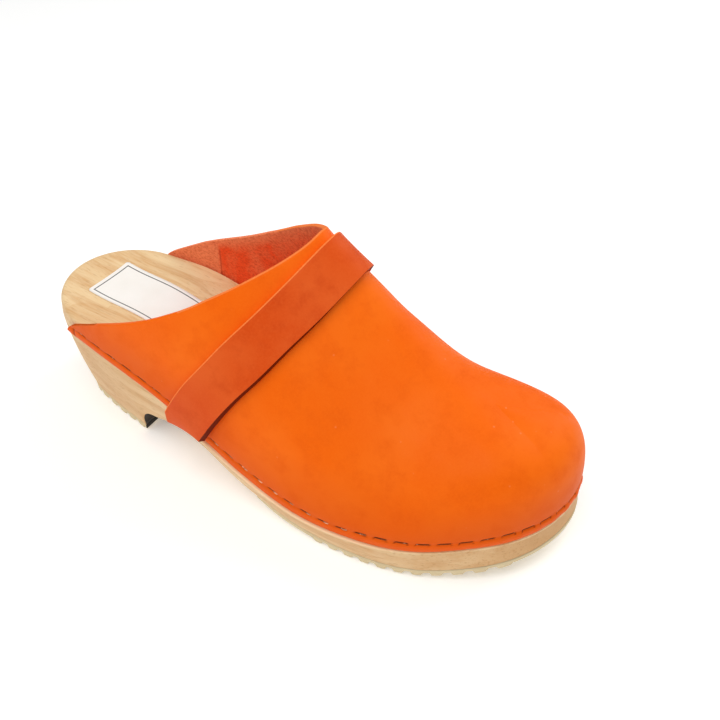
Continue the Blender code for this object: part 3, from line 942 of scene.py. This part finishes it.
def creases(points):
    """Sum of soft troughs: each is a Gaussian of the distance to its line, faded out at the ends."""
    total = np.zeros(points.shape[:-1])
    for row in zip(*CREASES.values()):
        side, from_x, from_share, to_x, to_share, width, depth = row
        start, end = (
            leather(turn_at(np.array(x)), np.array(share), side)
            for x, share in ((from_x, from_share), (to_x, to_share))
        )
        line = end - start
        along = np.clip((points - start) @ line / (line @ line), 0, 1)
        off = np.linalg.norm(points - start - along[..., None] * line, axis=-1)
        fade = 0.35 + 0.65 * np.sin(np.pi * along)
        total -= depth * fade * bell(off, width)
    return total


print(len(CREASES["width"]), "creases, the deepest", CREASES["depth"].max() / MM, "mm")

# %% Hem and dents
HEM_ROLL, HEM_VALLEY, STAPLE_DENT = 0.25 * MM, 0.2 * MM, 0.6 * MM
TOE_PUFF, FOOT_ROUND = 0.4 * MM, 0.3 * MM
FOOT_WIDTH, VALLEY_WIDTH, DENT_WIDTH, SHADE_WIDTH = 0.9 * MM, 1.2 * MM, 0.6 * MM, 0.38 * MM
UPRIGHT_DENT, UPRIGHT_SHADE = 0.7 * MM, 0.5 * MM  # both are widths
SHADE_BETWEEN = 0.45  # this share of the shade runs on between two dents of the quarters
LOOSE_FRONT = (0.7 * MM, 1.6 * MM)  # ahead of a staple's middle, where a loose one comes out
PUFF_GROWS, QUARTERS_END = (0.8 * LENGTH, 0.96 * LENGTH), (0.3 * LENGTH, 0.42 * LENGTH)
BALL_BEGINS, TOE_BEGINS = (0.36 * LENGTH, 0.5 * LENGTH), (0.66 * LENGTH, 0.8 * LENGTH)


def staple_offset(turn, side):
    """Distance along the staple line from the middle of the nearest staple, plus towards the toe."""
    count = np.interp(turn, *STAPLE_COUNT[side])
    return (count % 1 - 0.5) * curve(STAPLES, "pitch", station(turn))


def toe_share(x):
    """0 along the sides of the clog and 1 round its toe."""
    return ease(x, *TOE_BEGINS)


def loose_share(x):
    """1 along the ball of the foot, where the staples have worked loose, and 0 at the heel and toe."""
    return ease(x, *BALL_BEGINS) * (1 - toe_share(x))


def along_staples(turn, side):
    """1 along a staple and 0 between two."""
    off = np.abs(staple_offset(turn, side))
    on = 1 - ease(off, STAPLE_LENGTH / 2 - 0.5 * MM, STAPLE_LENGTH / 2 + 0.3 * MM)
    return on * (turn > STAPLES_FROM)


def upright_staple(turn, height, width):
    """1 at the upright staple of the rear end, falling off as a Gaussian beside it."""
    beside = bell(station(turn) - UPRIGHT_STATION, width)
    end = UPRIGHT_LENGTH / 2
    return beside * (1 - ease(np.abs(height - UPRIGHT_HEIGHT), end - 0.4 * MM, end + 0.6 * MM))


def hem_form(turn, height, side):
    """Outset near the hem: a parabola for the roll below the staples, fuller round the toe between two
    staples, rounded off at the cut edge, and two Gaussians across the staple line for the valley and
    the dents."""
    x = station(turn)
    line = curve(STAPLES, "height", x)
    on = along_staples(turn, side)
    puff = TOE_PUFF * ease(x, *PUFF_GROWS) * (1 - 0.7 * on)
    roll = (HEM_ROLL + puff) * np.clip(1 - (2 * height / line - 1) ** 2, 0, 1)
    foot = FOOT_ROUND * bell(height, FOOT_WIDTH)
    valley = HEM_VALLEY * bell(height - line, VALLEY_WIDTH)
    dent = on * bell(height - line, DENT_WIDTH)
    dent = np.maximum(dent, upright_staple(turn, height, UPRIGHT_DENT))
    return roll - foot - valley - STAPLE_DENT * dent


def staple_shade(turn, height, side):
    """1 in the thin shadow along the upper edge of each dent, and round the toe at its two ends too.
    Along the ball it leaves out the front of the staple, where the wire stands proud, and on the
    quarters some of it runs on between two dents."""
    x = station(turn)
    above = height - curve(STAPLES, "height", x)
    toe = toe_share(x)
    on = along_staples(turn, side)
    on *= 1 - loose_share(x) * ease(staple_offset(turn, side), *LOOSE_FRONT)
    between = SHADE_BETWEEN * (1 - ease(x, *QUARTERS_END))
    top_edge = (0.3 + 0.35 * toe) * MM
    line = bell(above - top_edge, SHADE_WIDTH) * (between + (1 - between) * on)
    ends = 4 * on * (1 - on) * toe * (above < top_edge) * (above > -0.7 * MM)
    shade = np.maximum(line, ends) * (turn > STAPLES_FROM)
    return np.maximum(shade, upright_staple(turn, height, UPRIGHT_SHADE))


print("the dents of the staples are", round(STAPLE_DENT / MM, 1), "mm deep")

# %% [markdown]
# The hide is two faces on one grid of points, a hide's thickness apart. Even steps up each section
# could make the grid, but a staple's dent is far finer than a crease, so the columns crowd at the
# staple line. The edges between the faces show what the knife has left there, and at the rear of the
# outer quarter the edge carries painted shade.

# %% Vamp
CUT_ROUND, CROWDING = 0.35 * MM, 1.8  # the power by which the columns crowd
COLLAR_ROUND = np.array([[0.4], [0]]) * MM  # the first row of the collar is pared, the second is not
SHADED_TO, PALE_FROM = 45 * MM, 95 * MM  # ends of the runs of the collar's edge


def vamp_grid():
    """Columns of the vamp: first at set shares of the staple line's height, crowded at the line, then
    at even shares up to the ridge. Each column runs from the topline to the toe. The topline's turn is
    found by iteration, because the share of a column changes a little along the clog."""
    away = np.linspace(-1, 1, 27)
    of_line = 1 + np.sign(away) * np.abs(away) ** CROWDING
    upper = np.linspace(0, 1, 32)[1:]
    ahead = np.linspace(0, 1, 341)[:, None]
    low = len(of_line)

    def half(side):
        def shares(turn):
            line = share_at(turn, curve(STAPLES, "height", station(turn)), side)
            high = of_line[-1] * line[..., low:]
            return np.concatenate([of_line * line[..., :low], high + (1 - high) * upper], axis=-1)

        back = np.full((1, low + len(upper)), turn_at(TOPLINE["station"][0]))
        for _ in range(14):
            back = turn_at(curve(TOPLINE, "station", shares(back)))
        turn = back + (np.pi - back) * ahead
        share = shares(turn)
        share[:, -1] = 1
        return turn, share, share / share_at(turn, 1, side)

    return {side: half(side) for side in (OUTER, INNER)}


def vamp():
    """Outer and inner face from the same columns, the inner one a hide's thickness below. The first
    rows of the outer face are the pared edge of the collar. From hem to hem that edge has four runs:
    a darker brown of painted shade at the rear of the outer quarter, dyed on the rest of it, pale round
    the front, and the suede's own colour along the inner quarter."""
    grid = vamp_grid()

    def outer_half(side):
        turn, share, height = grid[side]
        form = hem_form(turn, height, side) + creases(leather(turn, share, side))
        form[: len(COLLAR_ROUND)] -= COLLAR_ROUND
        return skin(turn, share, side, form)

    def inner_half(side):
        turn, share, _ = grid[side]
        return skin(turn, share, side, creases(leather(turn, share, side)) - LEATHER)

    outer, inner = both_sides(outer_half), both_sides(inner_half)
    steps = np.linalg.norm(np.diff(outer, axis=0), axis=-1)
    values = {
        "hem_height": both_sides(lambda side: grid[side][2]),
        "staple_shade": both_sides(lambda side: staple_shade(grid[side][0], grid[side][2], side)),
        "from_collar": np.concatenate([np.zeros((1, outer.shape[1])), np.cumsum(steps, axis=0)]),
    }
    hide, flesh, cut, rubs_and_painted_light = range(4)
    pared = len(COLLAR_ROUND)
    painted_light = np.flatnonzero(outer[0, :, 0] > SHADED_TO)[0]
    first, last = np.flatnonzero(outer[0, :, 0] > PALE_FROM)[[0, -1]]
    runs = (slice(0, painted_light + 1), slice(painted_light, first + 1), slice(first, last + 1), slice(last, None))
    sheets = [(outer[pared - 1 :], hide), (inner, flesh)]
    sheets += [(outer[:pared, run], finish) for run, finish in zip(runs, (hide, hide, cut, hide))]
    collar = np.stack([outer[0], inner[0]])
    sheets += [(collar[:, run], finish) for run, finish in zip(runs, (rubs_and_painted_light, hide, cut, flesh))]
    sheets += [(np.stack([outer[:, j], inner[:, j]]), cut) for j in (0, -1)]
    marks = {}
    for name, on_face in values.items():
        strips = [on_face[:pared, run] for run in runs]
        edges = [*(on_face[0, run] for run in runs), on_face[:, 0], on_face[:, -1]]
        marks[name] = [on_face[pared - 1 :], on_face, *strips, *(np.stack([edge, edge]) for edge in edges)]
    return sheets, marks


vamp_sheets, vamp_marks = vamp()
vamp_finishes = [vamp_nubuck, suede_finish, cut_finish, collar_edge_shade_finish]
stapled_vamp = piece("stapled_vamp", vamp_sheets, vamp_finishes, "upper_nubuck", ["upper"], **vamp_marks)
round_cut_edges(stapled_vamp, CUT_ROUND)

# %% [markdown]
# ## Instep strap
# The strap is a second, redder hide, laid over the instep from edge to edge. It is stiffer than the
# vamp, so its front edge stands off and leaves a dark slit that widens towards the sole. The rear
# corner of each end hangs past the hem and curls in a little, and the front corner stops above it.
# The strap is cut from the skin of the last like the vamp, and only its outset changes. The knife
# left a narrow pale bevel along the rear edge. The front edge is pared on a slant and painted dark
# for the shade of the slit, and the slant is longer where the strap stands off most.

# %% Instep strap
REAR_TAIL, FRONT_TAIL, STRAP_CURL = 6.2 * MM, 0.2 * MM, 0.4 * MM
FRONT_RISE = 0.03  # its front corner ends this share of the section above the hem
SLIT_TOP, SLIT_FOOT, SLIT_EVEN = 0.45 * MM, 1.6 * MM, 0.6  # the last is a share of the way up
SLANT_TOP, SLANT_FOOT, SLANT_EVEN = 0.25 * MM, 1.35 * MM, 0.75
BEVEL_RUN, BEVEL_DEPTH, STRAP_CUT_ROUND = 0.42 * MM, 0.25 * MM, 0.3 * MM


def strap():
    """Band between the two edges of the STRAP table. Its outset grows with the square of the way to
    the front edge, by a slit that narrows upwards with the power 1.5. Below the hem the tail runs
    down and curls in with the square of the way."""
    across = np.linspace(0, 1, 17)[:, None]
    level = np.linspace(0, 1, 90)
    drop = np.linspace(1, 0, 9)[:-1, None]
    slit = SLIT_TOP + SLIT_FOOT * np.clip(1 - level / SLIT_EVEN, 0, 1) ** 1.5
    slant = SLANT_TOP + (SLANT_FOOT - SLANT_TOP) * np.clip(1 - level / SLANT_EVEN, 0, 1)

    def face(across, outset, rear_trim, front_trim):
        def half(side):
            share = level + (1 - level) * FRONT_RISE * across
            rear = curve(STRAP, "rear_station", share) + rear_trim
            front = curve(STRAP, "front_station", share) - front_trim
            turn = turn_at(rear + (front - rear) * across)
            band = skin(turn, share, side, outset + slit * across**2)
            inwards = -plan_normal(turn[:, 0], side)
            tail = REAR_TAIL + (FRONT_TAIL - REAR_TAIL) * across[:, 0]
            curl = np.stack([*(inwards.T * STRAP_CURL), 0 * tail], axis=-1)
            fall = np.stack([0 * tail, 0 * tail, -tail], axis=-1)
            hanging = band[:, :1] + drop * fall[:, None] + drop**2 * curl[:, None]
            return np.concatenate([hanging, band], axis=1)

        return both_sides(half)

    top = GAP + STRAP_LEATHER
    bevel = face(np.zeros((1, 1)), top - BEVEL_DEPTH, 0, 0)
    outer = np.concatenate([bevel, face(across, top, BEVEL_RUN, 0)])
    inner = face(across, GAP, 0, -slant)
    inner = np.concatenate([inner[:1], inner])
    hide, flesh, cut, painted_slit_shade = range(4)
    rear_edge, front_edge = (np.stack([outer[i], inner[i]]) for i in (0, -1))
    ends = [(np.stack([outer[:, j], inner[:, j]]), cut) for j in (0, -1)]
    faces = [(outer[1:], hide), (outer[:2], cut), (inner[1:], flesh)]
    return [*faces, (rear_edge, cut), (front_edge, painted_slit_shade), *ends]


strap_finishes = [strap_nubuck, suede_finish, cut_finish, slit_shade_finish]
strap_hide = piece("instep_strap_hide", strap(), strap_finishes, "strap_nubuck", ["instep_strap"])
round_cut_edges(strap_hide, STRAP_CUT_ROUND)

# %% [markdown]
# ### Staple wire
# Upholstery staples are drawn steel wire, a little flattened. These are tarnished brown, with a
# few bright rubs, and a painted glint where they stand proud. Steel keeps the shader's default IOR
# and takes its look from roughness.

# %% Staple wire finish


def staple_wire():
    """Steel mottled by noise of 2.5 mm between tarnish and bright rubs, with a painted glint where it stands
    proud.
    """
    material, tree, shader, place = new_finish("staple_wire", metallic=1.0)
    bare = spread(tree, noise(tree, place, 2.5, 3), 0.58, 0.68)
    # bright rubs from the noise, and a painted glint on the fronts that stand proud
    rubs_and_painted_light = maths(tree, "MAXIMUM", bare, on_points(tree, "proud"))
    tone = layers(tree, "#7A4224", (rubs_and_painted_light, "#F2BE98"))
    dress(tree, shader, tone, spread(tree, rubs_and_painted_light, 0, 1, 0.5, 0.28))
    return material


wire_finish = staple_wire()
print("finish:", wire_finish.name)

# %% [markdown]
# ## Staples
# Each staple is a crown of wire that lies in its dent and two legs that turn into the leather. It
# could be a curve with a bevel, but a profile carried along a path gives all of them in a few array
# steps: ten stations along the wire, eight points round it, and closed ends inside the leather. Along
# the ball of the foot the front of most crowns has worked loose, and where it stands proud it gets a
# painted glint.

# %% Staples
WIRE_WIDTH, WIRE_THICKNESS = 0.5 * MM, 0.4 * MM
CROWN_SINK, LEG_SINK, FRONT_LIFT = 0.6 * MM, 1.8 * MM, 0.35 * MM
LEAST_LOOSE, LOOSE_BEAT = 0.25, 2.4  # no two neighbours have worked loose as far


def wire_along(path, normal):
    """A closed tube along each path: an ellipse between the path's side and its own normal."""
    ahead = np.gradient(path, axis=1)
    ahead[:, [0, -1]] = ahead[:, [1, -2]]  # the ends are doubled, and point as their neighbours do
    ahead /= np.linalg.norm(ahead, axis=-1, keepdims=True)
    middle = path.shape[1] // 2
    sideways = np.cross(ahead[:, middle], normal[:, middle])
    sideways = (sideways / np.linalg.norm(sideways, axis=-1, keepdims=True))[:, None]
    out = np.cross(sideways, ahead)
    angle = np.linspace(0, 2 * np.pi, 9)[:, None]
    swell = np.ones(path.shape[1])
    swell[[0, -1]] = 0
    across = sideways[:, :, None] * np.cos(angle) * WIRE_WIDTH / 2
    up = out[:, :, None] * np.sin(angle) * WIRE_THICKNESS / 2
    return path[:, :, None] + (across + up) * swell[:, None, None]


def staples():
    """Paths of all staples: along the staple line, sunk at both ends, and one upright staple at the
    rear end of each side. Also returns the painted glint of every point, which follows how proud it stands."""
    span = np.array([-1, -1, -0.98, -0.9, 0, 0.5, 0.9, 0.98, 1, 1])
    sunk = np.array([1, 1, 0.35, 0.05, 0, 0, 0.05, 0.35, 1, 1])
    front = np.array([0, 0, 0, 0, 0, 1, 1, 0.5, 0, 0])
    sink = -CROWN_SINK - (LEG_SINK - CROWN_SINK) * sunk
    tubes, proud = [], []
    for side in (OUTER, INNER):
        turns, counts = STAPLE_COUNT[side]
        middle = np.arange(round(counts[-1]))[:, None] + 0.5
        pitch = curve(STAPLES, "pitch", station(np.interp(middle, counts, turns)))
        row = np.interp(middle + span * STAPLE_LENGTH / 2 / pitch, counts, turns)
        varied = LEAST_LOOSE + (1 - LEAST_LOOSE) * np.abs(np.sin(LOOSE_BEAT * middle))
        loose = front * varied * loose_share(station(row))
        upright = turn_at(UPRIGHT_STATION) + np.zeros((1, len(span)))
        for turn, height, lift, shine in (
            (row, curve(STAPLES, "height", station(row)), FRONT_LIFT * loose, loose),
            (upright, UPRIGHT_HEIGHT + span * UPRIGHT_LENGTH / 2, -FRONT_LIFT, 0 * upright),
        ):
            share = share_at(turn, height, side)
            path = skin(turn, share, side, sink + lift)
            tubes.append(wire_along(path, leather_normal(turn, share, side)))
            proud.append(shine)
    tubes, proud = np.concatenate(tubes), np.concatenate(proud)
    proud = np.repeat(proud[..., None], tubes.shape[2], axis=2)
    return [(tube, 0) for tube in tubes], list(proud)


staple_sheets, proud = staples()
piece("hem_staples", staple_sheets, [wire_finish], "staple_steel", proud=proud)

# %% [markdown]
# ### Label paper
# The label is white paper, matt, printed with one thin dark line as a frame, and bare inside it. The
# line is where the distance to the frame's rectangle is under half its width, worked out from Object
# coordinates that a Mapping node centres and turns to the label.

# %% Label finish
LABEL_LENGTH, LABEL_WIDTH, LABEL_PAPER = 70 * MM, 27 * MM, 0.4 * MM
LABEL_MIDDLE, LABEL_TURN = np.array([52.7, 1.0]) * MM, np.radians(-1.8)
LABEL_CORNER, LABEL_GLUE, LABEL_LIFT = 1.5 * MM, 0.1 * MM, 0.5 * MM
FRAME_INSET, FRAME_LINE, FRAME_BLUR = 2.1 * MM, 0.5 * MM, 0.1 * MM


def label_paper():
    """White paper clouded by noise, with a rectangle drawn by the larger of two edge distances."""
    material, tree, shader, place = new_finish("printed_label_paper", roughness=0.62, ior=1.5)
    middle = (LABEL_MIDDLE[0] + HEEL_BACK[0], LABEL_MIDDLE[1], 0)
    to_label = {"Vector": place, "Location": middle, "Rotation": (0, 0, LABEL_TURN)}
    centred = add(tree, "Mapping", to_label, vector_type="TEXTURE").outputs[0]
    split = add(tree, "SeparateXYZ", {"Vector": centred})
    distances = []
    for axis, size in ((0, LABEL_LENGTH), (1, LABEL_WIDTH)):
        from_middle = maths(tree, "ABSOLUTE", split.outputs[axis])
        distances.append(maths(tree, "SUBTRACT", from_middle, size / 2 - FRAME_INSET))
    off = maths(tree, "ABSOLUTE", maths(tree, "MAXIMUM", *distances))
    line = spread(tree, off, FRAME_LINE / 2, FRAME_LINE / 2 + FRAME_BLUR, 0.85, 0)
    tone = layers(tree, "#F0ECE3", (noise(tree, place, 12, 4), "#FAF8F3"), (line, "#23262E"))
    tooth = noise(tree, place, 0.6, 3)
    dress(tree, shader, tone, spread(tree, tooth, 0, 1, 0.55, 0.72), tooth, 0.02 * MM, 0.6)
    return material


label_finish = label_paper()
print("finish:", label_finish.name)

# %% [markdown]
# ## Heel label
# The paper lies in the dish of the heel seat, so its surface is the footbed's own height plus the
# thickness of the paper. One corner has lifted a little, as glued labels do.

# %% Heel label


def label():
    """Grid turned to the label's angle, at the footbed's height. Its width follows quarter circles at
    the corners, and one corner lifts with the sixth power of the way to it."""
    end = LABEL_LENGTH / 2 - LABEL_CORNER
    quarter = np.sin(np.linspace(0, np.pi / 2, 7)) * LABEL_CORNER
    along = np.concatenate([-end - quarter[::-1], np.linspace(-end, end, 49)[1:-1], end + quarter])
    past = np.clip(np.abs(along) - end, 0, LABEL_CORNER)
    half_width = LABEL_WIDTH / 2 - LABEL_CORNER + np.sqrt(LABEL_CORNER**2 - past**2)
    along, v = np.meshgrid(along, np.linspace(-1, 1, 25))
    aside = v * half_width
    x = LABEL_MIDDLE[0] + along * np.cos(LABEL_TURN) - aside * np.sin(LABEL_TURN)
    y = LABEL_MIDDLE[1] + along * np.sin(LABEL_TURN) + aside * np.cos(LABEL_TURN)
    lift = LABEL_LIFT * ((0.5 - along / LABEL_LENGTH) * (0.5 + v / 2)) ** 6
    under = np.stack([x, y, footbed(x, y) + LABEL_GLUE + lift], -1)
    return wall(under + [0, 0, LABEL_PAPER], under, 0, 0, 0)


piece("heel_label_paper", label(), [label_finish], "label_film", ["heel_label"])

# %% [markdown]
# ## Floor and light
# The clog stands on a plain pale floor in a white studio. One large soft light hangs above the side
# that the camera sees, a second stands lower behind the big toe, and the white world does the rest.
# The floor glows a little, which keeps its shadows pale. Small lamps would draw hard shadows that
# this picture does not have.

# %% Floor and light
FLOOR_SIZE, FLOOR_DROP, FLOOR_GLOW = 6.0, 0.2 * MM, 0.22
WORLD_STRENGTH = 0.46
AIM_HEIGHT = 0.05  # metres above the floor


def floor():
    """A square sheet just below the ribs of the rubber."""
    corners = np.array([[-1, -1], [1, -1], [1, 1], [-1, 1]]) * FLOOR_SIZE / 2
    mesh = bpy.data.meshes.new("studio_floor")
    mesh.from_pydata(np.column_stack([corners, np.full(4, -FLOOR_DROP)]), [], [(0, 1, 2, 3)])
    material, tree, shader, place = new_finish("white_floor", roughness=0.9, emission_strength=FLOOR_GLOW)
    tone = layers(tree, "#F7F7F6", (noise(tree, place, 300, 2), "#FBFBFA"))
    dress(tree, shader, tone)
    tree.links.new(tone, shader.inputs["Emission Color"])
    mesh.materials.append(material)
    made = bpy.data.objects.new("studio_floor", mesh)
    bpy.context.scene.collection.objects.link(made)


def soft_light(name, place, size, power):
    """A square area light that faces the middle of the clog."""
    lamp = bpy.data.lights.new(name, "AREA")
    lamp.size = size
    lamp.energy = power
    made = bpy.data.objects.new(name, lamp)
    made.location = place
    towards = made.location.copy() * -1
    towards.z += AIM_HEIGHT
    made.rotation_euler = towards.to_track_quat("-Z", "Y").to_euler()
    bpy.context.scene.collection.objects.link(made)


floor()
soft_light("key_light", place=(-0.05, -0.45, 1.05), size=0.9, power=7.0)
soft_light("back_light", place=(0.38, 0.8, 0.7), size=0.7, power=4.5)
world = bpy.data.worlds.new("white_studio")
world.use_nodes = True
background = world.node_tree.nodes["Background"]
background.inputs["Color"].default_value = linear("#FFFFFF")
background.inputs["Strength"].default_value = WORLD_STRENGTH
bpy.context.scene.world = world
bpy.context.scene.view_settings.view_transform = "Standard"
